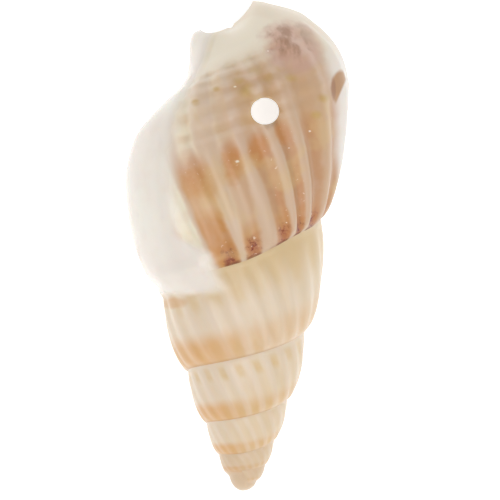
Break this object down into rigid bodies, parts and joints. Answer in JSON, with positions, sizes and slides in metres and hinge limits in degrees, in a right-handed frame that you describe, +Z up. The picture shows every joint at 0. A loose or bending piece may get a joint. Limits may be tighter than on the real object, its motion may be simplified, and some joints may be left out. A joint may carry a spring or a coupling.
{
  "type": "auger shell",
  "caption": "Drilled tall-spired sea snail shell, ribbed, 30 mm long, lying on its mouth; a natural bead or charm with one hole through the last whorl.",
  "frame": {"origin": "centre of the bounding box's bottom, on the surface the shell lies on", "axes": "+Y along the shell to the end with the mouth and the siphon notch, +Z up out of the back with the drilled hole, +X to the side of the outer lip"},
  "size_m": [0.014, 0.0302, 0.0116],
  "materials": {
    "shell": "glossy"
  },
  "bodies": {
    "root": {"shell": "shell"}
  },
  "joints": []
}
